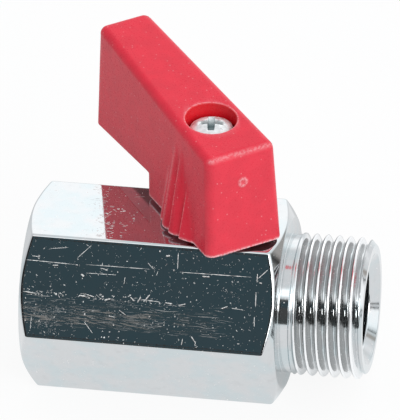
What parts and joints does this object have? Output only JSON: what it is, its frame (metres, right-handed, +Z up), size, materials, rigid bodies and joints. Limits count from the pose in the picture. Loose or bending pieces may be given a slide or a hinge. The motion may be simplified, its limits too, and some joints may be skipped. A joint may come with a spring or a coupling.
{
  "type": "drain tap",
  "caption": "Small ball valve turned from hexagon bar, chrome plated, with a female and a male pipe thread and a red moulded quarter-turn lever held by a screw.",
  "frame": {"origin": "on the bottom flat of the hexagon, straight below the stem's axis", "axes": "+Z up along the stem, +X along the flow axis towards the male end"},
  "size_m": [0.0401, 0.0319, 0.0371],
  "materials": {
    "chrome_plate": "bright chrome plate over brass, with fine scratches",
    "turned_brass": "as turned",
    "white_seal": "smooth waxy white",
    "polished_ball": "polished and plated",
    "black_rubber": "smooth rubber",
    "zinc_steel": "bright zinc plate",
    "red_nylon": "moulded, satin, with fine speckle"
  },
  "bodies": {
    "body": {"valve_body": "chrome_plate", "seat_retainer": "turned_brass", "inlet_seat": "white_seal", "outlet_seat": "white_seal", "stem_thrust_washer": "white_seal", "stop_pin": "zinc_steel"},
    "lever": {"handle": "red_nylon", "handle_screw": "zinc_steel", "stem": "turned_brass", "stem_o_ring": "black_rubber", "ball": "polished_ball"}
  },
  "joints": [
    {"name": "lever_turn", "type": "hinge", "parent": "body", "child": "lever", "pos_m": [0, 0, 0.0235], "axis": [0, 0, 1], "range_deg": [-38, 52]}
  ]
}
